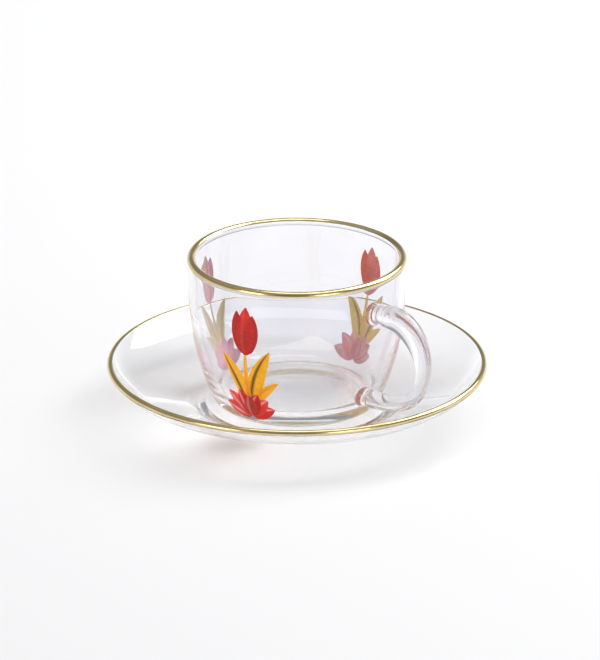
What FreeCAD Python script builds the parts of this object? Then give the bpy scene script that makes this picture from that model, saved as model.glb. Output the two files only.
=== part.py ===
import FreeCAD, Part
import math
import operator
import os
import Sketcher

# A clear glass coffee cup with a gilded lip, standing on a clear glass saucer
# with a gilded rim. The cup's bowl, its two welded pads and the handle are one
# piece of glass. Millimetres, +Z up. The origin is the middle of the face that
# the saucer rests on, and the handle points along +X.

SIZES = [
    # saucer: a flat foot, a sloping flank and a rim that bends upwards
    ("saucer_radius", 75.0),
    ("saucer_height", 20.6),
    ("saucer_wall", 2.6),
    ("saucer_floor", 4.4),
    ("saucer_foot", 36.0),
    ("foot_round", 3.0),
    ("well_round", 24.0),
    ("rim_bend", 26.0),
    ("rim_pitch", 50.0),
    # bowl of the cup: a curved wall that stands upright at its top; a share is of
    # the wall and a level is of the cup's height
    ("cup_radius", 43.1),
    ("cup_height", 60.4),
    ("cup_wall", 2.4),
    ("cup_floor", 4.2),
    ("lip_share", 0.667),
    ("lip_overhang", 0.45),
    ("lip_blend", 0.8),
    ("belly_level", 0.762),
    ("outer_curve", 110.0),
    ("inner_curve", 95.0),
    ("heel_round", 4.0),
    ("inside_round", 9.0),
    ("dimple_radius", 22.0),
    ("dimple_rise", 0.8),
    # handle: a rod drawn out unevenly, welded to the wall at two pads; the bow's
    # radius and middle are a share and a level of the cup's height
    ("handle_reach", 71.4),
    ("bow_share", 0.288),
    ("bow_level", 0.525),
    ("top_pitch", 6.0),
    ("heel_pitch", 20.0),
    ("rod_thick", 4.7),
    ("rod_thin", 2.85),
    ("rod_weld", 3.7),
    ("upper_pad", 4.7),
    ("lower_pad", 4.2),
    ("pad_thickness", 2.8),
    ("pad_round", 1.4),
    # gilding: a thin fired-on layer over the two edges
    ("gilding", 0.1),
    ("gilding_strokes", 8),
    ("lip_gold_inside", 60.0),
    ("lip_gold_outside", 93.0),
    ("rim_gold_inside", 32.0),
    ("rim_gold_outside", 97.0),
]


class Size:
    """A number together with the sheet formula that it comes from."""

    def __init__(self, number, formula=None):
        self.number = float(number)
        self.formula = formula or repr(float(number))

    def __add__(self, other):
        return joined(self, "+", other)

    def __sub__(self, other):
        return joined(self, "-", other)

    def __mul__(self, other):
        return joined(self, "*", other)

    def __truediv__(self, other):
        return joined(self, "/", other)


SIGNS = {"+": operator.add, "-": operator.sub, "*": operator.mul, "/": operator.truediv}


def joined(left, sign, right):
    right = right if isinstance(right, Size) else Size(right)
    formula = "(%s %s %s)" % (left.formula, sign, right.formula)
    return Size(SIGNS[sign](left.number, right.number), formula)


def root(size):
    return Size(math.sqrt(size.number), "sqrt(%s)" % size.formula)


def sine(angle):
    return Size(math.sin(math.radians(angle.number)), "sin(%s)" % angle.formula)


def cosine(angle):
    return Size(math.cos(math.radians(angle.number)), "cos(%s)" % angle.formula)


def arcsine(ratio):
    return Size(math.degrees(math.asin(ratio.number)), "asin(%s)" % ratio.formula)


def fill_sheet(document):
    """Write the driving sizes into the sheet, one named cell each."""
    sheet = document.addObject("Spreadsheet::Sheet", "Sizes")
    cells = {}
    for row, (name, number) in enumerate(SIZES, start=1):
        sheet.set("A%d" % row, name)
        sheet.set("B%d" % row, str(number))
        sheet.setAlias("B%d" % row, name)
        cells[name] = Size(number, "Sizes." + name)
    document.recompute()
    return cells


document = FreeCAD.newDocument("CupAndSaucer")
size = fill_sheet(document)
ZERO = Size(0.0)


def new_body(name):
    body = document.addObject("PartDesign::Body", name)
    body.Label = name
    return body


def new_sketch(body, name, plane="XZ_Plane"):
    sketch = body.newObject("Sketcher::SketchObject", name)
    face = next(f for f in body.Origin.OriginFeatures if f.Role == plane)
    sketch.AttachmentSupport = [(face, "")]
    sketch.MapMode = "FlatFace"
    return sketch


def bind(sketch, constraint, formula):
    """Add a constraint and tie its value to a formula on the sheet."""
    index = sketch.addConstraint(constraint)
    sketch.setExpression("Constraints[%d]" % index, formula)


def arc_between(start, end, radius, side):
    """The short arc from start to end; side 1 bulges right of the way, -1 left."""
    chord = end - start
    middle = (start + end) * 0.5
    across = FreeCAD.Vector(-chord.y, chord.x, 0).normalize()
    depth = math.sqrt(max(radius ** 2 - (chord.Length / 2) ** 2, 0.0))
    centre = middle + across * depth * side
    top = centre - across * radius * side
    return Part.Arc(start, top, end)


def draw_outline(sketch, corners, arcs):
    """A closed outline through the corners; arcs maps an edge to (radius, side)."""
    spots = [FreeCAD.Vector(x.number, y.number, 0) for x, y in corners]
    count = len(corners)
    starts = []
    for edge in range(count):
        start = spots[edge]
        end = spots[(edge + 1) % count]
        if edge in arcs:
            radius, side = arcs[edge]
            sketch.addGeometry(arc_between(start, end, radius.number, side), False)
            # an arc in a sketch always runs anticlockwise from its first point
            starts.append((1, 2) if side > 0 else (2, 1))
        else:
            sketch.addGeometry(Part.LineSegment(start, end), False)
            starts.append((1, 2))
    for edge in range(count):
        after = (edge + 1) % count
        sketch.addConstraint(
            Sketcher.Constraint("Coincident", edge, starts[edge][1], after, starts[after][0]))
    for edge, (x, y) in enumerate(corners):
        point = starts[edge][0]
        bind(sketch, Sketcher.Constraint("DistanceX", -1, 1, edge, point, x.number), x.formula)
        bind(sketch, Sketcher.Constraint("DistanceY", -1, 1, edge, point, y.number), y.formula)
    for edge, (radius, side) in arcs.items():
        bind(sketch, Sketcher.Constraint("Radius", edge, radius.number), radius.formula)


def spin(body, kind, name, sketch, axis="V_Axis", turn=Size(360)):
    """Turn a sketch round one of its own axes, all the way unless told otherwise."""
    feature = body.newObject("PartDesign::" + kind, name)
    feature.Profile = sketch
    feature.ReferenceAxis = (sketch, [axis])
    feature.setExpression("Angle", turn.formula)
    document.recompute()
    return feature


def ring_names(feature, spots):
    """Names of the level circular edges that pass through the given (radius, height)."""
    names = []
    for radius, height in spots:
        for number, edge in enumerate(feature.Shape.Edges, start=1):
            level = abs(edge.BoundBox.ZMax - height.number) < 1e-4
            level = level and edge.BoundBox.ZLength < 1e-4
            if level and abs(edge.BoundBox.XMax - radius.number) < 1e-3:
                names.append("Edge%d" % number)
    return names


def soften(body, name, base, spots, radius):
    """Round the level circular edges at the given spots."""
    names = ring_names(base, spots)
    if len(names) != len(spots):
        raise RuntimeError("%s: %d of %d edges found" % (name, len(names), len(spots)))
    fillet = body.newObject("PartDesign::Fillet", name)
    fillet.Base = (base, names)
    fillet.setExpression("Radius", radius.formula)
    document.recompute()
    return fillet


# ---------------------------------------------------------------- saucer

half_wall = size["saucer_wall"] / 2
rim_centre = (size["saucer_radius"] - half_wall, size["saucer_height"] - half_wall)
rim_out = (sine(size["rim_pitch"]), ZERO - cosine(size["rim_pitch"]))


def step(spot, way, length):
    """The spot reached by going a length along a way, both as (x, y) pairs."""
    return (spot[0] + way[0] * length, spot[1] + way[1] * length)


def saucer_outline():
    """Corners and arcs of the saucer's half section, from the axis outwards and back."""
    wall = size["saucer_wall"]
    bend = size["rim_bend"]
    foot = size["saucer_foot"]
    floor = size["saucer_floor"]
    centre = step(rim_centre, rim_out, half_wall - bend)
    # the flank runs from the foot's edge until it touches the bend
    across = centre[0] - foot
    up = centre[1]
    reach = across * across + up * up
    run = root(reach - bend * bend)
    flank = ((run * across + bend * up) / reach, (run * up - bend * across) / reach)
    inward = (ZERO - flank[1], flank[0])
    outer_touch = step((foot, ZERO), flank, run)
    inner_touch = step(outer_touch, inward, wall)
    well = foot - wall * flank[1] + (floor - wall * flank[0]) * flank[0] / flank[1]
    tip = (ZERO - rim_out[1], rim_out[0])
    corners = [
        (ZERO, ZERO),
        (foot, ZERO),
        outer_touch,
        step(rim_centre, rim_out, half_wall),
        step(rim_centre, tip, half_wall),
        step(rim_centre, rim_out, ZERO - half_wall),
        inner_touch,
        (well, floor),
        (ZERO, floor),
    ]
    arcs = {2: (bend, 1), 3: (half_wall, 1), 4: (half_wall, 1), 5: (bend - wall, -1)}
    return corners, arcs


def make_saucer():
    body = new_body("saucer")
    sketch = new_sketch(body, "SaucerSection")
    corners, arcs = saucer_outline()
    draw_outline(sketch, corners, arcs)
    dish = spin(body, "Revolution", "Dish", sketch)
    foot = soften(body, "FootRound", dish, [corners[1]], size["foot_round"])
    soften(body, "WellRound", foot, [corners[7]], size["well_round"])
    return body


def gilded_band(body, centre, radius, inside, outside):
    """A thin band over a round edge, between two angles counted from straight up.

    It is laid on in equal brush strokes that join into one ring.
    """
    thickness = size["gilding"]
    over = (ZERO, Size(1.0))
    ways = [
        (ZERO - sine(inside), cosine(inside)),
        over,
        (sine(outside), cosine(outside)),
    ]
    corners = [step(centre, way, radius + thickness) for way in ways]
    corners += [step(centre, way, radius) for way in reversed(ways)]
    outer = (radius + thickness, -1)
    inner = (radius, 1)
    sketch = new_sketch(body, body.Name + "Section")
    draw_outline(sketch, corners, {0: outer, 1: outer, 3: inner, 4: inner})
    strokes = size["gilding_strokes"]
    stroke = spin(body, "Revolution", body.Name + "Stroke", sketch, turn=Size(360) / strokes)
    ring = body.newObject("PartDesign::PolarPattern", body.Name + "Band")
    ring.Originals = [stroke]
    ring.Axis = (sketch, ["V_Axis"])
    ring.Angle = 360.0
    ring.Refine = False
    ring.setExpression("Occurrences", strokes.formula)
    body.Tip = ring
    document.recompute()


def make_saucer_gilding():
    body = new_body("saucer_gilding")
    gilded_band(body, rim_centre, half_wall, size["rim_gold_inside"], size["rim_gold_outside"])
    return body


# ---------------------------------------------------------------- cup

wall_outside = size["cup_radius"] - size["lip_overhang"]
wall_inside = wall_outside - size["cup_wall"]
belly = size["cup_height"] * size["belly_level"]
lip_round = size["cup_wall"] * size["lip_share"]
lip_centre = (size["cup_radius"] - lip_round, size["cup_height"] - lip_round)


def bowl_heel(wall, curve, corner, floor):
    """Where a rounded corner touches the floor, and where it touches the curved wall."""
    hub = wall - curve
    drop = belly - floor - corner
    inner_curve = curve - corner
    along = root(inner_curve * inner_curve - drop * drop)
    on_floor = (hub + along, floor)
    on_wall = (hub + along * curve / inner_curve,
               belly - drop * curve / inner_curve)
    return on_floor, on_wall


def lip_meets(wall):
    """The spot on the upright wall where the round lip begins."""
    aside = wall - lip_centre[0]
    drop = root(lip_round * lip_round - aside * aside)
    return (wall, lip_centre[1] - drop)


def cup_outside():
    """Half section of the bowl as if it were filled with glass."""
    on_floor, on_wall = bowl_heel(wall_outside, size["outer_curve"], size["heel_round"], ZERO)
    rise = size["dimple_rise"]
    dimple = size["dimple_radius"]
    dimple_curve = (dimple * dimple + rise * rise) / (rise * 2)
    corners = [
        (ZERO, rise),
        (dimple, ZERO),
        on_floor,
        on_wall,
        (wall_outside, belly),
        lip_meets(wall_outside),
        (size["cup_radius"], lip_centre[1]),
        (lip_centre[0], size["cup_height"]),
        (ZERO, size["cup_height"]),
    ]
    lip = (lip_round, 1)
    arcs = {0: (dimple_curve, -1), 2: (size["heel_round"], 1), 3: (size["outer_curve"], 1),
            5: lip, 6: lip}
    return corners, arcs


def cup_hollow():
    """Half section of the space inside the bowl, run out a little above the lip."""
    floor = size["cup_floor"]
    on_floor, on_wall = bowl_heel(wall_inside, size["inner_curve"], size["inside_round"], floor)
    above = size["cup_height"] + lip_round
    lip_inside = lip_centre[0] - lip_round
    corners = [
        (ZERO, floor),
        on_floor,
        on_wall,
        (wall_inside, belly),
        lip_meets(wall_inside),
        (lip_inside, lip_centre[1]),
        (lip_centre[0], size["cup_height"]),
        (lip_centre[0], above),
        (ZERO, above),
    ]
    lip = (lip_round, -1)
    arcs = {1: (size["inside_round"], 1), 2: (size["inner_curve"], 1), 4: lip, 5: lip}
    return corners, arcs


def wall_spot(height):
    """The spot on the curved outside of the wall at a height, and the way out of it."""
    below = belly - height
    curve = size["outer_curve"]
    out = root(curve * curve - below * below)
    spot = (wall_outside - curve + out, height)
    return spot, (out / curve, ZERO - below / curve)


bow_radius = size["cup_height"] * size["bow_share"]
bow_centre = (size["handle_reach"] - bow_radius, size["cup_height"] * size["bow_level"])


def on_bow(degrees_up):
    """The spot on the bow's centreline at an angle above the level way out."""
    way = (cosine(degrees_up), sine(degrees_up))
    return step(bow_centre, way, bow_radius)


def handle_stations():
    """Spot, heading in degrees above +X, and radius of each section along the rod."""
    weld = size["rod_weld"]
    thin = size["rod_thin"]
    swell = size["rod_thick"] - thin
    stations = []
    # upper arm: straight from inside the wall up to where the bow begins
    pitch = size["top_pitch"]
    bow_start = on_bow(pitch + 90)
    arm = (cosine(pitch), sine(pitch))
    arm_sections = ((1.0, weld), (0.3, weld), (0.0, thin + swell * 0.92))
    for share, radius in arm_sections:
        length = (bow_start[0] - wall_inside) * share
        stations.append((step(bow_start, arm, ZERO - length), pitch, radius))
    # bow: down and round, thick at the shoulder and thin at the heel
    last = size["heel_pitch"] - 90
    swells = (1.0, 0.84, 0.5, 0.18, 0.0, 0.02, 0.25)
    for number, share in enumerate(swells, start=1):
        turn = (pitch + 90 - last) * (number / len(swells))
        angle = pitch + 90 - turn
        stations.append((on_bow(angle), angle - 90, thin + swell * share))
    # lower arm: a long easy curve that comes in level, then straight into the wall
    heel = on_bow(last)
    level = wall_spot(heel[1])[0][0] + size["pad_thickness"]
    ease = (heel[0] - level) / sine(size["heel_pitch"])
    hub = step(heel, (ZERO - sine(size["heel_pitch"]), cosine(size["heel_pitch"])), ease)
    heel_sections = ((0.5, thin + (weld - thin) * 0.6), (0.0, weld))
    for share, radius in heel_sections:
        angle = size["heel_pitch"] * share
        spot = (hub[0] + sine(angle) * ease, hub[1] - cosine(angle) * ease)
        stations.append((spot, ZERO - 180 + angle, radius))
    end = (level - size["pad_thickness"] * 2, hub[1] - ease)
    stations.append((end, ZERO - 180, weld))
    return stations


def rod_section(body, name, spot, heading, radius):
    """A round section square to the rod."""
    sketch = new_sketch(body, name, "XY_Plane")
    tilt = Size(90) - heading
    place = FreeCAD.Vector(spot[0].number, 0, spot[1].number)
    turn = FreeCAD.Rotation(FreeCAD.Vector(0, 1, 0), tilt.number)
    sketch.AttachmentOffset = FreeCAD.Placement(place, turn)
    sketch.setExpression("AttachmentOffset.Base.x", spot[0].formula)
    sketch.setExpression("AttachmentOffset.Base.z", spot[1].formula)
    sketch.setExpression("AttachmentOffset.Rotation.Angle", tilt.formula)
    sketch.addGeometry(Part.Circle(FreeCAD.Vector(0, 0, 0), FreeCAD.Vector(0, 0, 1),
                                   radius.number), False)
    sketch.addConstraint(Sketcher.Constraint("Coincident", 0, 3, -1, 1))
    bind(sketch, Sketcher.Constraint("Radius", 0, radius.number), radius.formula)
    return sketch


def make_rod(body):
    sections = []
    for number, (spot, heading, radius) in enumerate(handle_stations(), start=1):
        sections.append(rod_section(body, "Rod%d" % number, spot, heading, radius))
    rod = body.newObject("PartDesign::AdditiveLoft", "Rod")
    rod.Profile = sections[0]
    rod.Sections = sections[1:]
    document.recompute()
    return rod


def make_pad(body, name, height, girth):
    """A button of glass that stands square on the wall and carries one end of the rod."""
    spot, out = wall_spot(height)
    sketch = new_sketch(body, name + "Section")
    tilt = arcsine(out[1])
    place = FreeCAD.Vector(spot[0].number, spot[1].number, 0)
    turn = FreeCAD.Rotation(FreeCAD.Vector(0, 0, 1), tilt.number)
    sketch.AttachmentOffset = FreeCAD.Placement(place, turn)
    sketch.setExpression("AttachmentOffset.Base.x", spot[0].formula)
    sketch.setExpression("AttachmentOffset.Base.y", spot[1].formula)
    sketch.setExpression("AttachmentOffset.Rotation.Angle", tilt.formula)
    edge = size["pad_round"]
    front = size["pad_thickness"]
    waist = front - edge
    buried = ZERO - size["cup_wall"]
    corners = [
        (buried, ZERO),
        (front, ZERO),
        (front, girth - edge),
        (waist, girth),
        (waist - edge, girth - edge / 2),
        (buried, girth - edge / 2),
    ]
    back_curve = (edge * edge + edge * edge / 4) / edge
    draw_outline(sketch, corners, {2: (edge, 1), 3: (back_curve, 1)})
    return spin(body, "Revolution", name, sketch, "H_Axis")


def make_cup():
    body = new_body("cup")
    body.setExpression("Placement.Base.z", size["saucer_floor"].formula)
    sketch = new_sketch(body, "BowlSection")
    corners, arcs = cup_outside()
    draw_outline(sketch, corners, arcs)
    bowl = spin(body, "Revolution", "Bowl", sketch)
    soften(body, "LipOutside", bowl, [corners[5]], size["lip_blend"])
    make_rod(body)
    rod_ends = handle_stations()
    make_pad(body, "UpperPad", rod_ends[0][0][1], size["upper_pad"])
    make_pad(body, "LowerPad", rod_ends[-1][0][1], size["lower_pad"])
    hollow_sketch = new_sketch(body, "HollowSection")
    hollow_corners, hollow_arcs = cup_hollow()
    draw_outline(hollow_sketch, hollow_corners, hollow_arcs)
    hollow = spin(body, "Groove", "Hollow", hollow_sketch)
    soften(body, "LipInside", hollow, [hollow_corners[4]], size["lip_blend"])
    return body


def make_cup_gilding():
    body = new_body("cup_gilding")
    body.setExpression("Placement.Base.z", size["saucer_floor"].formula)
    gilded_band(body, lip_centre, lip_round,
                size["lip_gold_inside"], size["lip_gold_outside"])
    return body


# ---------------------------------------------------------------- write

parts = [make_saucer(), make_saucer_gilding(), make_cup(), make_cup_gilding()]
document.recompute()
for item in document.Objects:
    if "Invalid" in item.State or "Error" in item.State:
        raise RuntimeError("%s did not build: %s" % (item.Name, item.State))
for part in parts:
    shape = part.Shape
    if shape.isNull() or not shape.isValid() or len(shape.Solids) != 1:
        raise RuntimeError("%s is not one sound solid" % part.Label)

os.makedirs("parts", exist_ok=True)
for part in parts:
    part.Shape.exportStep("parts/%s.step" % part.Label)
    box = part.Shape.BoundBox
    print("%s: %.1f cm3, x %.2f..%.2f, z %.2f..%.2f" % (
        part.Label, part.Shape.Volume / 1000, box.XMin, box.XMax, box.ZMin, box.ZMax))
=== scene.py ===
import math

import bpy
from mathutils import Matrix, Vector


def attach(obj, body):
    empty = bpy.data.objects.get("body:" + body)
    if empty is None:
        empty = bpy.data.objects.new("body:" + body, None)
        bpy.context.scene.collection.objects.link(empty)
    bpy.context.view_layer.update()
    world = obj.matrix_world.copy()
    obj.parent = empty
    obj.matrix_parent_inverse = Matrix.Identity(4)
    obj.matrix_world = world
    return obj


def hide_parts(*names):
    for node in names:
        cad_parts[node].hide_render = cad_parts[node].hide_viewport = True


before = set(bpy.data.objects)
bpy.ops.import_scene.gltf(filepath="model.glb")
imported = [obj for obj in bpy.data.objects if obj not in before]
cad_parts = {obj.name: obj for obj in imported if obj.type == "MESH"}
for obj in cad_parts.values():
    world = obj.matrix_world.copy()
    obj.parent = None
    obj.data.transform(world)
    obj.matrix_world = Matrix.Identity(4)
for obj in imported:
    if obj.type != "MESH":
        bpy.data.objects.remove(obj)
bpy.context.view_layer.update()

# ---------------------------------------------------------------- camera
# A long lens looks down on the set from a little above the lip, with the
# handle turned to the right and forwards.
HANDLE_TURN = math.radians(43.0)
LOOK_DOWN = math.radians(21.4)
STAND_OFF = 2.0
AIM_HEIGHT, AIM_ASIDE, AIM_ABOVE = 0.030, 0.00118, 0.0028
towards = Vector((math.cos(HANDLE_TURN) * math.cos(LOOK_DOWN),
                  -math.sin(HANDLE_TURN) * math.cos(LOOK_DOWN),
                  math.sin(LOOK_DOWN)))
rightwards = Vector((math.sin(HANDLE_TURN), math.cos(HANDLE_TURN), 0.0))
upwards = towards.cross(rightwards)
aim = Vector((0.0, 0.0, AIM_HEIGHT)) + rightwards * AIM_ASIDE + upwards * AIM_ABOVE
lens = bpy.data.cameras.new("camera")
lens.lens = 276.5
lens.sensor_width = 36.0
lens.clip_start = 0.05
lens.clip_end = 60.0
camera = bpy.data.objects.new("camera", lens)
camera.location = aim + towards * STAND_OFF
camera.rotation_euler = towards.to_track_quat("Z", "Y").to_euler()
bpy.context.scene.collection.objects.link(camera)
bpy.context.scene.camera = camera

# ---------------------------------------------------------------- saucer
# One piece of clear borosilicate glass, pressed to a flat foot, a sloping
# flank and a rim that bends upwards. The cup stands free in its well.
MM = 0.001  # sizes are in millimetres, and meshes in metres
SAUCER_FLOOR = 4.4
RIM_CENTRE = (73.7, 19.3)  # of the edge's round section: outwards, upwards
RIM_HALF = 1.3


def arc(centre, radius, start, end, steps):
    """Points of a section's arc, its angles in degrees above the way outwards."""
    points = []
    for step in range(steps + 1):
        angle = math.radians(start + (end - start) * step / steps)
        points.append((centre[0] + radius * math.cos(angle),
                       centre[1] + radius * math.sin(angle)))
    return points


def line(start, end, steps):
    """Points between two spots, both ends left out."""
    return [(start[0] + (end[0] - start[0]) * step / steps,
             start[1] + (end[1] - start[1]) * step / steps) for step in range(1, steps)]


def saucer_section():
    """Half section of the saucer, from under its middle round to its floor."""
    wall, foot, bend = 2.6, 36.0, 26.0
    pitch = -40.0
    reach = math.radians(pitch)
    hub = (RIM_CENTRE[0] - (bend - RIM_HALF) * math.cos(reach),
           RIM_CENTRE[1] - (bend - RIM_HALF) * math.sin(reach))
    aside = hub[0] - foot
    square = aside ** 2 + hub[1] ** 2
    run = math.sqrt(square - bend ** 2)
    slope = math.atan2(run * hub[1] - bend * aside, run * aside + bend * hub[1])
    steep = math.degrees(slope)
    well = foot - wall * math.sin(slope) \
        + (SAUCER_FLOOR - wall * math.cos(slope)) / math.tan(slope)
    foot_round, well_round = 3.0, 24.0
    foot_hub = (foot - foot_round * math.tan(slope / 2), foot_round)
    well_hub = (well - well_round * math.tan(slope / 2), SAUCER_FLOOR + well_round)
    under = arc(foot_hub, foot_round, -90.0, steep - 90.0, 8)
    flank = arc(hub, bend, steep - 90.0, pitch, 20)
    lip = arc(RIM_CENTRE, RIM_HALF, pitch, 180.0 + pitch, 18)
    inside = arc(hub, bend - wall, pitch, steep - 90.0, 20)
    floor = arc(well_hub, well_round, steep - 90.0, -90.0, 16)
    points = [(0.0, 0.0)] + line((0.0, 0.0), under[0], 12) + under
    points += line(under[-1], flank[0], 8) + flank + lip[1:-1] + inside
    points += line(inside[-1], floor[0], 4) + floor
    points += line(floor[-1], (0.0, SAUCER_FLOOR), 12) + [(0.0, SAUCER_FLOOR)]
    return points


def turned(name, section, segments, place=None):
    """A closed mesh made by turning a half section, in millimetres, about an axis."""
    place = place or Matrix.Identity(4)
    points, rings = [], []
    for radius, height in section:
        if radius < 1e-9:
            rings.append([len(points)])
            points.append(place @ Vector((0.0, 0.0, height * MM)))
            continue
        rings.append([len(points) + turn for turn in range(segments)])
        for turn in range(segments):
            angle = math.tau * turn / segments
            points.append(place @ Vector((radius * math.cos(angle) * MM,
                                          radius * math.sin(angle) * MM,
                                          height * MM)))
    faces = []
    for lower, upper in zip(rings, rings[1:]):
        for turn in range(segments):
            after = (turn + 1) % segments
            if len(lower) == 1:
                faces.append((lower[0], upper[after], upper[turn]))
            elif len(upper) == 1:
                faces.append((lower[turn], lower[after], upper[0]))
            else:
                faces.append((lower[turn], lower[after], upper[after], upper[turn]))
    mesh = bpy.data.meshes.new(name)
    mesh.from_pydata(points, [], faces)
    mesh.shade_smooth()
    piece = bpy.data.objects.new(name, mesh)
    bpy.context.scene.collection.objects.link(piece)
    return piece


def node(tree, kind, **inputs):
    """A node with its inputs set to values or linked from sockets."""
    made = tree.nodes.new(kind)
    for name, value in inputs.items():
        socket = made.inputs[int(name[1:])] if name[0] == "_" else made.inputs[name]
        if isinstance(value, bpy.types.NodeSocket):
            tree.links.new(value, socket)
        else:
            socket.default_value = value
    return made


def new_material(name):
    """An empty node material and its tree."""
    material = bpy.data.materials.new(name)
    material.use_nodes = True
    material.node_tree.nodes.clear()
    return material, material.node_tree


def ramp(tree, value, start, end, low, high):
    """A smooth change from low to high while a value goes from start to end."""
    change = node(tree, "ShaderNodeMapRange", Value=value)
    change.interpolation_type = "SMOOTHSTEP"
    for socket, number in (("From Min", start), ("From Max", end),
                           ("To Min", low), ("To Max", high)):
        change.inputs[socket].default_value = number
    return change.outputs["Result"]


def blended(tree, share, first, second):
    """A colour between two, by a share that a socket gives."""
    mix = node(tree, "ShaderNodeMix", _0=share)
    mix.data_type = "RGBA"
    mix.inputs[6].default_value = (*first, 1.0)
    mix.inputs[7].default_value = (*second, 1.0)
    return mix.outputs[2]


def finished(tree, shader):
    """Links a shader to the material's output."""
    out = tree.nodes.new("ShaderNodeOutputMaterial")
    tree.links.new(shader, out.inputs["Surface"])


def lit_through(tree, shader, shade):
    """A shader whose shadow has a shade, a colour or a socket, in place of black."""
    passed = tree.nodes.new("ShaderNodeBsdfTransparent")
    if isinstance(shade, bpy.types.NodeSocket):
        tree.links.new(shade, passed.inputs["Color"])
    else:
        passed.inputs["Color"].default_value = (*shade, 1.0)
    lamp_ray = tree.nodes.new("ShaderNodeLightPath").outputs["Is Shadow Ray"]
    either = node(tree, "ShaderNodeMixShader", _0=lamp_ray, _1=shader,
                  _2=passed.outputs["BSDF"])
    return either.outputs["Shader"]


def clear_glass(name, ripple, cast, clear_up_to, square_on, edge_on):
    """Glass with slow ripples and a faint cast that starts above a clear foot.

    Its shadow is light where a lamp shines square on and darker edge on."""
    clear, cast_rise = (0.985, 0.984, 0.985), 0.012
    material, tree = new_material(name)
    where = node(tree, "ShaderNodeTexCoord").outputs["Object"]
    slow = node(tree, "ShaderNodeTexNoise", Vector=where, Scale=38.0, Detail=1.0)
    bump = node(tree, "ShaderNodeBump", Height=slow.outputs["Fac"], Strength=ripple,
                Distance=0.0006)
    height = node(tree, "ShaderNodeSeparateXYZ", Vector=where).outputs["Z"]
    onset = ramp(tree, height, clear_up_to, clear_up_to + cast_rise, 0.0, 1.0)
    depth = node(tree, "ShaderNodeMath", _0=onset, _1=slow.outputs["Fac"])
    depth.operation = "MULTIPLY"
    glass = node(tree, "ShaderNodeBsdfPrincipled", Roughness=0.0, IOR=1.47)
    glass.inputs["Transmission Weight"].default_value = 1.0
    tree.links.new(blended(tree, depth.outputs["Value"], clear, cast),
                   glass.inputs["Base Color"])
    tree.links.new(bump.outputs["Normal"], glass.inputs["Normal"])
    edge = node(tree, "ShaderNodeLayerWeight", Blend=0.25)
    shade = blended(tree, edge.outputs["Facing"], (square_on,) * 3,
                    (edge_on, edge_on * 0.98, edge_on * 0.95))
    finished(tree, lit_through(tree, glass.outputs["BSDF"], shade))
    return material


saucer = turned("saucer_glass", saucer_section(), 256)
saucer.data.materials.append(clear_glass(
    "saucer clear glass", ripple=0.10, cast=(0.960, 0.958, 0.976), clear_up_to=-0.02,
    square_on=0.81, edge_on=0.44))
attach(saucer, "root")
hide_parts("saucer")

# ---------------------------------------------------------------- gilded rim
# Bright gold painted over the saucer's rounded edge by brush on a turntable and
# fired on, so its two borders waver a little.
GOLD_PROUD, GOLD_SUNK = 0.07, 0.05  # how far its two faces lie off the glass


def gilded_band(name, centre, radius, inside, outside, waver):
    """A closed band over a round edge, between two angles counted from straight up.

    Its borders waver by up to so many degrees."""
    segments, across = 320, 20
    points, faces = [], []
    for turn in range(segments):
        angle = math.tau * turn / segments
        drift = waver * (0.5 * math.sin(3 * angle + 0.7) + 0.3 * math.sin(11 * angle)
                         + 0.2 * math.sin(29 * angle + 2.0))
        low, high = -inside + drift * 0.6, outside + drift
        for skin, span in ((radius + GOLD_PROUD, (low, high)),
                           (radius - GOLD_SUNK, (high, low))):
            for step in range(across + 1):
                tip = math.radians(span[0] + (span[1] - span[0]) * step / across)
                out = centre[0] + skin * math.sin(tip)
                points.append(Vector((out * math.cos(angle), out * math.sin(angle),
                                      centre[1] + skin * math.cos(tip))) * MM)
    ring = 2 * (across + 1)
    for turn in range(segments):
        this, after = turn * ring, (turn + 1) % segments * ring
        for step in range(ring):
            onward = (step + 1) % ring
            faces.append((this + step, this + onward, after + onward, after + step))
    mesh = bpy.data.meshes.new(name)
    mesh.from_pydata(points, [], faces)
    mesh.shade_smooth()
    mesh.set_sharp_from_angle(angle=math.radians(50.0))
    piece = bpy.data.objects.new(name, mesh)
    bpy.context.scene.collection.objects.link(piece)
    return piece


def fired_gold(name):
    """Pale bright gold, thinner and browner in drifts, with fine brush lines."""
    material, tree = new_material(name)
    where = node(tree, "ShaderNodeTexCoord").outputs["Object"]
    drift = node(tree, "ShaderNodeTexNoise", Vector=where, Scale=90.0, Detail=2.0)
    grain = node(tree, "ShaderNodeTexNoise", Vector=where, Scale=900.0, Detail=2.0)
    tint = blended(tree, drift.outputs["Fac"], (0.62, 0.47, 0.18), (0.88, 0.74, 0.42))
    rough = node(tree, "ShaderNodeMapRange", Value=grain.outputs["Fac"])
    rough.inputs["To Min"].default_value = 0.10
    rough.inputs["To Max"].default_value = 0.24
    bump = node(tree, "ShaderNodeBump", Height=grain.outputs["Fac"], Strength=0.15,
                Distance=0.0001)
    metal = node(tree, "ShaderNodeBsdfPrincipled", Metallic=1.0)
    tree.links.new(tint, metal.inputs["Base Color"])
    tree.links.new(rough.outputs["Result"], metal.inputs["Roughness"])
    tree.links.new(bump.outputs["Normal"], metal.inputs["Normal"])
    finished(tree, metal.outputs["BSDF"])
    return material


gold = fired_gold("fired gold")
rim_gold = gilded_band("saucer_gold", RIM_CENTRE, RIM_HALF,
                       inside=32.0, outside=97.0, waver=5.0)
rim_gold.data.materials.append(gold)
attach(rim_gold, "root")
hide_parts("saucer_gilding")

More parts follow.
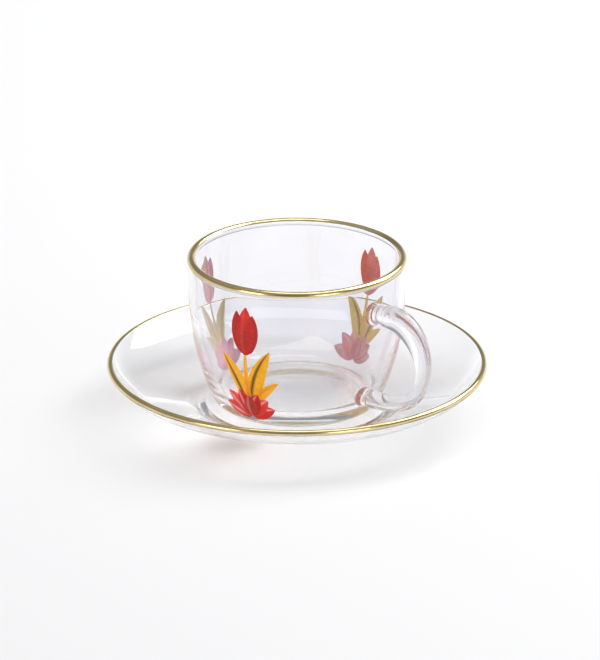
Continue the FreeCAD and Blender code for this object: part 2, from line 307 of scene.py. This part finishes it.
# ---------------------------------------------------------------- cup
# The bowl is blown clear glass with a dimpled foot. The handle is a rod drawn out
# thick at the shoulder and thin at the heel, welded to the wall at two pads.
CUP_LIFT = SAUCER_FLOOR + 0.02  # a hair above the saucer, so the faces don't flicker
LIP_CENTRE = (41.5, 58.8)
LIP_RADIUS = 1.6
WALL_OUT, WALL_IN = 42.65, 40.25
BELLY = 46.02  # the height at which the straight wall starts to draw in
OUTER_CURVE = 110.0
PAD_THICK, PAD_EDGE = 2.8, 1.4


def bowl_section():
    """Half section of the bowl, from under its middle over the lip to its floor."""
    heel, blend, rise, dimple = 4.0, 0.8, 0.8, 22.0
    inner_curve, inside_round, floor = 95.0, 9.0, 4.2
    dimple_curve = (dimple ** 2 + rise ** 2) / (2 * rise)
    dish_edge = math.degrees(math.acos(dimple / dimple_curve))
    out_hub = (WALL_OUT - OUTER_CURVE, BELLY)
    in_hub = (WALL_IN - inner_curve, BELLY)
    out_tip = math.asin((BELLY - heel) / (OUTER_CURVE - heel))
    in_tip = math.asin((BELLY - floor - inside_round) / (inner_curve - inside_round))
    heel_hub = (out_hub[0] + (OUTER_CURVE - heel) * math.cos(out_tip), heel)
    round_hub = (in_hub[0] + (inner_curve - inside_round) * math.cos(in_tip),
                 floor + inside_round)
    near = LIP_RADIUS + blend
    out_blend = (WALL_OUT + blend,
                 LIP_CENTRE[1] - math.sqrt(near ** 2 - (WALL_OUT + blend - LIP_CENTRE[0]) ** 2))
    in_blend = (WALL_IN - blend,
                LIP_CENTRE[1] - math.sqrt(near ** 2 - (LIP_CENTRE[0] - WALL_IN + blend) ** 2))
    out_lean = math.degrees(math.atan2(LIP_CENTRE[1] - out_blend[1],
                                       LIP_CENTRE[0] - out_blend[0]))
    in_lean = math.degrees(math.atan2(LIP_CENTRE[1] - in_blend[1],
                                      LIP_CENTRE[0] - in_blend[0]))
    under = arc((0.0, rise - dimple_curve), dimple_curve, 90.0, dish_edge, 14)
    foot = arc(heel_hub, heel, -90.0, -math.degrees(out_tip), 12)
    wall = arc(out_hub, OUTER_CURVE, -math.degrees(out_tip), 0.0, 36)
    blend_out = arc(out_blend, blend, 180.0, out_lean, 5)
    lip = arc(LIP_CENTRE, LIP_RADIUS, out_lean - 180.0, in_lean + 180.0, 26)
    blend_in = arc(in_blend, blend, in_lean, 0.0, 5)
    inside = arc(in_hub, inner_curve, 0.0, -math.degrees(in_tip), 30)
    corner = arc(round_hub, inside_round, -math.degrees(in_tip), -90.0, 14)
    points = [(0.0, rise)] + under[1:] + line(under[-1], foot[0], 6) + foot + wall[1:]
    points += line(wall[-1], blend_out[0], 8) + blend_out + lip[1:] + blend_in[1:]
    points += line(blend_in[-1], inside[0], 8) + inside + corner[1:]
    points += line(corner[-1], (0.0, floor), 12) + [(0.0, floor)]
    return points


def wall_out(height):
    """Radius of the bowl's outside at a height, and how much it leans outwards."""
    below = BELLY - height
    out = math.sqrt(OUTER_CURVE ** 2 - below ** 2)
    return WALL_OUT - OUTER_CURVE + out, math.atan2(below, out)


def rod_route():
    """The rod's centreline and its radius, from inside one weld to inside the other."""
    reach, bow, middle = 71.4, 17.395, 31.71
    top_pitch, heel_pitch = 6.0, 20.0
    thick, thin, weld, weld_length = 4.7, 2.85, 3.7, 7.5
    start_out, end_out = 41.45, 35.7
    arm_steps, bow_steps, ease_steps = 12, 72, 20
    hub = (reach - bow, middle)
    shoulder = arc(hub, bow, 90.0 + top_pitch, 90.0 + top_pitch, 1)[0]
    arm = math.radians(top_pitch)
    length = shoulder[0] - start_out
    start = (shoulder[0] - length, shoulder[1] - length * math.tan(arm))
    heel = arc(hub, bow, heel_pitch - 90.0, heel_pitch - 90.0, 1)[0]
    level = wall_out(heel[1])[0] + PAD_THICK
    turn = math.radians(heel_pitch)
    ease = (heel[0] - level) / math.sin(turn)
    ease_hub = (heel[0] - math.sin(turn) * ease, heel[1] + math.cos(turn) * ease)
    end = (end_out, ease_hub[1] - ease)
    route = [start] + line(start, shoulder, arm_steps)
    route += arc(hub, bow, 90.0 + top_pitch, heel_pitch - 90.0, bow_steps)
    route += arc(ease_hub, ease, heel_pitch - 90.0, -90.0, ease_steps)[1:]
    route += line(route[-1], end, 6) + [end]
    spans = [0.0]
    for before, after in zip(route, route[1:]):
        spans.append(spans[-1] + math.dist(before, after))
    bow_from = spans[arm_steps]
    bow_to, ease_to = spans[arm_steps + bow_steps], spans[arm_steps + bow_steps + ease_steps]
    marks = [(0.0, weld), (weld_length, weld), (bow_from, thin + 0.92 * (thick - thin))]
    swell = (1.0, 0.84, 0.5, 0.18, 0.0, 0.02, 0.25)
    for number, share in enumerate(swell, start=1):
        marks.append((bow_from + (bow_to - bow_from) * number / len(swell),
                      thin + share * (thick - thin)))
    marks += [((bow_to + ease_to) / 2, thin + 0.6 * (weld - thin)),
              (ease_to, weld), (spans[-1], weld)]
    return route, [eased(marks, span) for span in spans]


def eased(marks, span):
    """A value on the smooth line through (distance, value) marks."""
    number = max(1, min(len(marks) - 1, sum(mark[0] < span for mark in marks)))
    (x0, y0), (x1, y1) = marks[number - 1], marks[number]
    before = marks[max(number - 2, 0)]
    after = marks[min(number + 1, len(marks) - 1)]
    width = x1 - x0
    lead = (y1 - before[1]) / max(x1 - before[0], 1e-9) * width
    trail = (after[1] - y0) / max(after[0] - x0, 1e-9) * width
    t = min(max((span - x0) / width, 0.0), 1.0)
    return ((2 * t ** 3 - 3 * t ** 2 + 1) * y0 + (t ** 3 - 2 * t ** 2 + t) * lead
            + (3 * t ** 2 - 2 * t ** 3) * y1 + (t ** 3 - t ** 2) * trail)


def node_tree(name, sizes):
    """A new geometry tree with named size inputs; gives the tree, its input and output."""
    tree = bpy.data.node_groups.new(name, "GeometryNodeTree")
    tree.interface.new_socket("Geometry", in_out="OUTPUT", socket_type="NodeSocketGeometry")
    tree.interface.new_socket("Geometry", in_out="INPUT", socket_type="NodeSocketGeometry")
    for size, kind in sizes.items():
        tree.interface.new_socket(size, in_out="INPUT", socket_type="NodeSocket" + kind)
    return tree, tree.nodes.new("NodeGroupInput"), tree.nodes.new("NodeGroupOutput")


def made_by_nodes(piece, tree, **settings):
    """The plain mesh that a geometry tree makes from a piece, in the piece's place."""
    shaper = piece.modifiers.new(tree.name, "NODES")
    shaper.node_group = tree
    for socket in tree.interface.items_tree:
        name = socket.name.replace(" ", "_")
        if socket.in_out == "INPUT" and name in settings:
            shaper[socket.identifier] = settings[name]
    return made_plain(piece)


def made_plain(piece):
    """A piece with its modifiers turned into plain mesh."""
    graph = bpy.context.evaluated_depsgraph_get()
    mesh = bpy.data.meshes.new_from_object(piece.evaluated_get(graph), depsgraph=graph)
    name = piece.name
    bpy.data.objects.remove(piece)
    mesh.name = name
    plain = bpy.data.objects.new(name, mesh)
    bpy.context.scene.collection.objects.link(plain)
    return plain


def drawn_rod(route, radii):
    """The handle's rod: a round section carried along its route by geometry nodes."""
    curve = bpy.data.curves.new("handle_route", "CURVE")
    curve.dimensions = "3D"
    spline = curve.splines.new("POLY")
    spline.points.add(len(route) - 1)
    for point, (out, height), radius in zip(spline.points, route, radii):
        point.co = (out * MM, 0.0, (height + CUP_LIFT) * MM, 1.0)
        point.radius = radius
    rod = bpy.data.objects.new("handle_rod", curve)
    bpy.context.scene.collection.objects.link(rod)
    tree, given, result = node_tree("Drawn rod", {"Unit": "Float", "Sides": "Int",
                                                  "Glass": "Material"})
    ring = node(tree, "GeometryNodeCurvePrimitiveCircle", Radius=given.outputs["Unit"],
                Resolution=given.outputs["Sides"])
    girth = tree.nodes.new("GeometryNodeInputRadius")
    sweep = node(tree, "GeometryNodeCurveToMesh", Curve=given.outputs["Geometry"],
                 Scale=girth.outputs["Radius"])
    tree.links.new(ring.outputs["Curve"], sweep.inputs["Profile Curve"])
    sweep.inputs["Fill Caps"].default_value = True
    real = node(tree, "GeometryNodeRealizeInstances", Geometry=sweep.outputs["Mesh"])
    glaze = node(tree, "GeometryNodeSetMaterial", Geometry=real.outputs["Geometry"],
                 Material=given.outputs["Glass"])
    tree.links.new(glaze.outputs["Geometry"], result.inputs["Geometry"])
    return made_by_nodes(rod, tree, Unit=MM, Sides=48, Glass=cup_glass)


def pad_section(girth):
    """Half section of a weld pad, as (distance from its axis, distance off the wall)."""
    waist, back_edge, sunk = PAD_THICK - PAD_EDGE, 1.25 * PAD_EDGE, 1.2
    front = arc((girth - PAD_EDGE, waist), PAD_EDGE, 90.0, 0.0, 8)
    back = arc((girth - back_edge, waist), back_edge, 0.0, -math.degrees(math.asin(0.8)), 6)
    inner = girth - PAD_EDGE / 2
    points = [(0.0, PAD_THICK)] + line((0.0, PAD_THICK), front[0], 4) + front + back[1:]
    points += [(inner, -sunk / 2), (inner, -sunk), (0.0, -sunk)]
    return points[::-1]


def weld_pad(name, height, girth):
    """A button of glass that stands square on the wall at a height."""
    out, lean = wall_out(height)
    place = Matrix.Translation(Vector((out, 0.0, height + CUP_LIFT)) * MM)
    place @= Matrix.Rotation(math.pi / 2 + lean, 4, "Y")
    pad = turned(name, pad_section(girth), 64, place)
    pad.data.materials.append(cup_glass)
    return pad


cup_glass = clear_glass("cup clear glass", ripple=0.06, cast=(0.860, 0.855, 0.915),
                        clear_up_to=0.012, square_on=1.0, edge_on=0.76)
lifted = Matrix.Translation(Vector((0.0, 0.0, CUP_LIFT)) * MM)
bowl = turned("cup_glass", bowl_section(), 224, lifted)
bowl.data.materials.append(cup_glass)
rod_points, rod_radii = rod_route()
rod = drawn_rod(rod_points, rod_radii)
welded = [rod, weld_pad("upper_pad", rod_points[0][1], 4.7),
          weld_pad("lower_pad", rod_points[-1][1], 4.2)]
for added in welded:
    weld = bowl.modifiers.new("weld " + added.name, "BOOLEAN")
    weld.operation = "UNION"
    weld.solver = "EXACT"
    weld.object = added
cup = made_plain(bowl)
for added in welded:
    bpy.data.objects.remove(added)
cup.data.shade_smooth()
cup.data.set_sharp_from_angle(angle=math.radians(40.0))
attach(cup, "root")
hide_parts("cup")

# ---------------------------------------------------------------- printed sprigs
# Tulip sprigs in enamel colours, screened on a sheet of transfer, laid on the cup's
# wall and fired. The colours stand a little proud. Their backs, seen through the glass,
# are given paler colours: partly the transfer's paler backing, partly painted light
# standing in for lamplight that shines through the thin enamel.
PRINT_SUNK, PRINT_PROUD = 0.03, 0.04  # how far its two faces lie off the glass
SUNK_STEP, PROUD_STEP = 0.002, 0.006  # how much further on each later blade
# The back's paler colour is partly the transfer's backing and partly painted light, lightened
# in place of lamplight through the enamel.
PALER_BACK_WITH_PAINTED_LIGHT = 0.38  # the power that turns a colour into the paler one seen from inside
RED, DEEP_RED, BRIGHT_RED = (0.72, 0.026, 0.014), (0.52, 0.015, 0.010), (0.82, 0.07, 0.04)
YELLOW, AMBER, BROWN = (0.95, 0.49, 0.018), (0.86, 0.34, 0.010), (0.085, 0.022, 0.005)
PINK, ROSE, PALE_PINK = (0.88, 0.21, 0.28), (0.80, 0.10, 0.12), (0.93, 0.45, 0.48)
MAUVE, STRAW = (0.86, 0.26, 0.56), (0.97, 0.70, 0.26)


def blade(spine, widths, ink, stripe=None):
    """A petal, leaf or stem: its middle line, half widths along it and its colours."""
    return {"spine": spine, "widths": widths, "ink": ink, "stripe": stripe}


def petal(root, heading, length, width, ink, stripe=None, bend=0.0):
    """A pointed petal that leaves its root on a heading, in degrees from upwards."""
    spine, widths = [root], [0.25 * width]
    steps, blunt, fullness, tip = 9, 0.12, 0.7, 0.06
    for step in range(1, steps + 1):
        way = math.radians(heading + bend * (step - 0.5) / steps)
        last = spine[-1]
        spine.append((last[0] + math.sin(way) * length / steps,
                      last[1] + math.cos(way) * length / steps))
        share = min(1.0, blunt + (1.0 - blunt) * step / steps)
        widths.append(width * max(tip, math.sin(math.pi * share) ** fullness))
    return blade(spine, widths, ink, stripe)


def sprig(flip, bloom, heart, head, crown, leaf=YELLOW, shade=BROWN):
    """One sprig, in millimetres over its foot: leaves, stem, tulip and a low blossom."""
    blades = [petal((0.8, 8.0), 8.0, 29.0, 3.6, leaf, shade, 24.0),
              petal((-0.6, 9.0), -9.0, 25.0, 3.3, leaf, shade, -30.0),
              petal((1.6, 10.0), 34.0, 17.0, 2.2, leaf, AMBER, 26.0),
              petal((0.2, 6.0), -4.0, 30.0, 1.1, leaf, AMBER, 9.0)]
    for heading, length, ink in ((-76.0, 14.0, bloom), (74.0, 12.5, bloom),
                                 (-48.0, 14.0, heart), (50.0, 12.0, heart),
                                 (-22.0, 12.0, bloom), (24.0, 11.0, bloom),
                                 (0.0, 9.0, heart)):
        blades.append(petal((-0.6, 5.2), heading, length, 3.3, ink, PALE_PINK))
    blades += [petal((0.3, 33.0), -20.0, 18.0, 3.3, head, None, 18.0),
               petal((0.5, 33.0), 21.0, 17.0, 3.3, head, None, -20.0),
               petal((0.4, 32.6), 0.0, 20.0, 3.9, crown, BRIGHT_RED, 3.0)]
    for spot in blades:
        spot["spine"] = [(flip * across, up) for across, up in spot["spine"]]
    return blades


def flat_print(name, layout):
    """All sprigs as thin closed slabs on one flat sheet, with their colours.

    Each blade lies a little prouder than the one before, so none share a face."""
    points, faces, inks = [], [], []
    across, stripe_at = 6, 2
    for angle, blades in layout:
        middle = math.radians(angle) * WALL_OUT
        for layer, part in enumerate(blades):
            spine, widths = part["spine"], part["widths"]
            first = len(points)
            # The back face gets the paler colour, partly painted light; the front face keeps
            # the print's own colour.
            for lift, power in ((-PRINT_SUNK - SUNK_STEP * layer, PALER_BACK_WITH_PAINTED_LIGHT),
                                (PRINT_PROUD + PROUD_STEP * layer, 1.0)):
                for number, (spot, width) in enumerate(zip(spine, widths)):
                    before = spine[max(number - 1, 0)]
                    after = spine[min(number + 1, len(spine) - 1)]
                    run, rise = after[0] - before[0], after[1] - before[1]
                    length = math.hypot(run, rise)
                    for step in range(across + 1):
                        offset = (2.0 * step / across - 1.0) * width
                        points.append(((middle + spot[0] + rise / length * offset) * MM,
                                       (spot[1] - run / length * offset) * MM, lift * MM))
                        striped = part["stripe"] and step == stripe_at
                        ink = part["stripe"] if striped else part["ink"]
                        inks.append((*(hue ** power for hue in ink), 1.0))
            row, sheet = across + 1, (across + 1) * len(spine)
            for number in range(len(spine) - 1):
                for step in range(across):
                    here = first + number * row + step
                    faces.append((here, here + row, here + row + 1, here + 1))
                    above = here + sheet
                    faces.append((above, above + 1, above + row + 1, above + row))
                for step, turned_round in ((0, False), (across, True)):
                    here = first + number * row + step
                    side = (here, here + sheet, here + sheet + row, here + row)
                    faces.append(side[::-1] if turned_round else side)
            for number, turned_round in ((0, True), (len(spine) - 1, False)):
                for step in range(across):
                    here = first + number * row + step
                    side = (here, here + sheet, here + sheet + 1, here + 1)
                    faces.append(side[::-1] if turned_round else side)
    mesh = bpy.data.meshes.new(name)
    mesh.from_pydata(points, [], faces)
    colours = mesh.color_attributes.new("ink", "FLOAT_COLOR", "POINT")
    for number, ink in enumerate(inks):
        colours.data[number].color = ink
    sheet = bpy.data.objects.new(name, mesh)
    bpy.context.scene.collection.objects.link(sheet)
    return sheet


def math_node(tree, operation, first, second=0.0):
    """The result of one sum on two numbers or sockets."""
    made = node(tree, "ShaderNodeMath", _0=first, _1=second)
    made.operation = operation
    return made.outputs["Value"]


def laid_on_wall(sheet, ink):
    """The flat sheet wrapped round the bowl's curved wall by geometry nodes."""
    tree, given, result = node_tree("Lay on wall", {
        "Radius": "Float", "Curve": "Float", "Belly": "Float", "Lift": "Float",
        "Ink": "Material"})
    spot = node(tree, "ShaderNodeSeparateXYZ",
                Vector=tree.nodes.new("GeometryNodeInputPosition").outputs["Position"])
    flat, height, proud = spot.outputs["X"], spot.outputs["Y"], spot.outputs["Z"]
    radius, curve = given.outputs["Radius"], given.outputs["Curve"]
    angle = math_node(tree, "DIVIDE", flat, radius)
    below = math_node(tree, "MAXIMUM",
                      math_node(tree, "SUBTRACT", given.outputs["Belly"], height))
    out = math_node(tree, "SQRT", math_node(
        tree, "SUBTRACT", math_node(tree, "MULTIPLY", curve, curve),
        math_node(tree, "MULTIPLY", below, below)))
    share = math_node(tree, "DIVIDE", proud, curve)
    reach = math_node(tree, "ADD", math_node(tree, "SUBTRACT", radius, curve),
                      math_node(tree, "ADD", out, math_node(tree, "MULTIPLY", out, share)))
    level = math_node(tree, "ADD", given.outputs["Lift"], math_node(
        tree, "SUBTRACT", height, math_node(tree, "MULTIPLY", below, share)))
    place = node(tree, "ShaderNodeCombineXYZ",
                 X=math_node(tree, "MULTIPLY", reach, math_node(tree, "COSINE", angle)),
                 Y=math_node(tree, "MULTIPLY", reach, math_node(tree, "SINE", angle)), Z=level)
    wrapped = node(tree, "GeometryNodeSetPosition", Geometry=given.outputs["Geometry"],
                   Position=place.outputs["Vector"])
    real = node(tree, "GeometryNodeRealizeInstances", Geometry=wrapped.outputs["Geometry"])
    inked = node(tree, "GeometryNodeSetMaterial", Geometry=real.outputs["Geometry"],
                 Material=given.outputs["Ink"])
    tree.links.new(inked.outputs["Geometry"], result.inputs["Geometry"])
    return made_by_nodes(sheet, tree, Radius=WALL_OUT * MM, Curve=OUTER_CURVE * MM,
                         Belly=BELLY * MM, Lift=CUP_LIFT * MM, Ink=ink)


def fired_enamel(name):
    """Glossy enamel in its own colours, a little uneven where the screen printed thin.

    It is thin enough for lamplight behind it to show."""
    thinness, shade = 0.45, (0.72, 0.67, 0.66)
    material, tree = new_material(name)
    ink = node(tree, "ShaderNodeAttribute")
    ink.attribute_name = "ink"
    where = node(tree, "ShaderNodeTexCoord").outputs["Object"]
    grain = node(tree, "ShaderNodeTexNoise", Vector=where, Scale=700.0, Detail=2.0)
    level = node(tree, "ShaderNodeMapRange", Value=grain.outputs["Fac"])
    level.inputs["To Min"].default_value = 0.78
    level.inputs["To Max"].default_value = 1.18
    shaded = node(tree, "ShaderNodeVectorMath", _0=ink.outputs["Color"])
    shaded.operation = "SCALE"
    tree.links.new(level.outputs["Result"], shaded.inputs["Scale"])
    enamel = node(tree, "ShaderNodeBsdfPrincipled", Roughness=0.28)
    enamel.inputs["Coat Weight"].default_value = 0.3
    tree.links.new(shaded.outputs["Vector"], enamel.inputs["Base Color"])
    through = tree.nodes.new("ShaderNodeBsdfTranslucent")
    tree.links.new(shaded.outputs["Vector"], through.inputs["Color"])
    print_layer = node(tree, "ShaderNodeMixShader", _0=thinness, _1=enamel.outputs["BSDF"],
                       _2=through.outputs["BSDF"])
    finished(tree, lit_through(tree, print_layer.outputs["Shader"], shade))
    return material


sprigs = flat_print("printed_sprigs", [
    (-72.0, sprig(1.0, RED, BRIGHT_RED, DEEP_RED, RED)),
    (92.0, sprig(-1.0, PINK, ROSE, RED, BRIGHT_RED)),
    (198.0, sprig(1.0, MAUVE, PINK, PINK, PALE_PINK, STRAW, AMBER))])
sprigs = laid_on_wall(sprigs, fired_enamel("fired enamel"))
sprigs.data.shade_smooth()
sprigs.data.set_sharp_from_angle(angle=math.radians(50.0))
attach(sprigs, "root")

# ---------------------------------------------------------------- gilded lip
# The same pale gold, painted by brush over the cup's rounded lip while it turns,
# and fired on. It reaches further down the outside than the inside.
GOLD_LOW = 0.02  # how far the band hangs below the lip's centre, to stay within its height
lip_gold = gilded_band("cup_gold", (LIP_CENTRE[0], LIP_CENTRE[1] + CUP_LIFT - GOLD_LOW),
                       LIP_RADIUS, inside=60.0, outside=93.0, waver=5.0)
lip_gold.data.materials.append(gold)
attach(lip_gold, "root")
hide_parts("cup_gilding")

# ---------------------------------------------------------------- table and lamps
# A plain matt white table. One large soft lamp stands behind and to the right, with
# three weaker ones above, in front and to the left, in a pale room that darkens upwards.
TABLE_HALF = 8.0
TABLE_DROP = 0.0002  # keeps the table's face off the saucer's foot
table_mesh = bpy.data.meshes.new("table")
table_mesh.from_pydata([(across * TABLE_HALF, along * TABLE_HALF, -TABLE_DROP)
                        for across, along in ((-1, -1), (1, -1), (1, 1), (-1, 1))],
                       [], [(0, 1, 2, 3)])
table = bpy.data.objects.new("table", table_mesh)
bpy.context.scene.collection.objects.link(table)
paint, paint_tree = new_material("white table")
mottle = node(paint_tree, "ShaderNodeTexNoise", Scale=6.0, Detail=2.0,
              Vector=node(paint_tree, "ShaderNodeTexCoord").outputs["Object"])
tone = blended(paint_tree, mottle.outputs["Fac"], (0.86, 0.86, 0.865), (0.87, 0.87, 0.87))
matt = node(paint_tree, "ShaderNodeBsdfPrincipled", Roughness=0.9)
matt.inputs["Specular IOR Level"].default_value = 0.1
paint_tree.links.new(tone, matt.inputs["Base Color"])
finished(paint_tree, matt.outputs["BSDF"])
table.data.materials.append(paint)

backwards = Vector((-math.cos(HANDLE_TURN), math.sin(HANDLE_TURN), 0.0))


def soft_lamp(name, aside, behind, height, width, depth, power):
    """A soft lamp aimed at the set, by how far right, behind and above it stands."""
    lamp = bpy.data.lights.new(name, "AREA")
    lamp.shape = "RECTANGLE"
    lamp.size = width
    lamp.size_y = depth
    lamp.energy = power
    holder = bpy.data.objects.new(name, lamp)
    holder.location = rightwards * aside + backwards * behind + Vector((0, 0, height))
    way = holder.location - Vector((0.0, 0.0, 0.02))
    holder.rotation_euler = way.to_track_quat("Z", "Y").to_euler()
    holder.visible_transmission = False
    bpy.context.scene.collection.objects.link(holder)


soft_lamp("key lamp", 1.05, 0.75, 1.25, 1.3, 1.3, 28.5)
soft_lamp("top lamp", 0.1, 0.35, 1.6, 0.9, 0.7, 5.0)
soft_lamp("front lamp", 0.9, -1.5, 0.7, 0.8, 0.8, 5.0)
soft_lamp("fill lamp", -1.3, -1.2, 0.6, 0.8, 0.8, 5.5)

world = bpy.data.worlds.new("studio")
bpy.context.scene.world = world
world.cycles.sampling_method = "NONE"
world.use_nodes = True
room = world.node_tree
room.nodes.clear()
way = node(room, "ShaderNodeTexCoord").outputs["Generated"]
rise = node(room, "ShaderNodeSeparateXYZ", Vector=way).outputs["Z"]
low_wall = ramp(room, rise, 0.0, 0.36, 1.05, 0.25)
ceiling = ramp(room, rise, 0.42, 0.80, 0.0, 0.16)
walls = node(room, "ShaderNodeMath", _0=low_wall, _1=ceiling)
towards_front = node(room, "ShaderNodeVectorMath", _0=way, _1=towards)
towards_front.operation = "DOT_PRODUCT"
front = ramp(room, towards_front.outputs["Value"], 0.80, 0.96, 1.0, 0.6)
glow = node(room, "ShaderNodeMath", _0=walls.outputs["Value"], _1=front)
glow.operation = "MULTIPLY"
sky = node(room, "ShaderNodeBackground", Color=(0.97, 0.975, 1.0, 1.0),
           Strength=glow.outputs["Value"])
sky_out = room.nodes.new("ShaderNodeOutputWorld")
room.links.new(sky.outputs["Background"], sky_out.inputs["Surface"])

scene = bpy.context.scene
scene.view_settings.view_transform = "Standard"
scene.cycles.caustics_refractive = True
scene.cycles.caustics_reflective = False
scene.cycles.max_bounces = 64  # light inside thick glass turns back many times
scene.cycles.glossy_bounces = 64
scene.cycles.transmission_bounces = 64
scene.cycles.transparent_max_bounces = 24
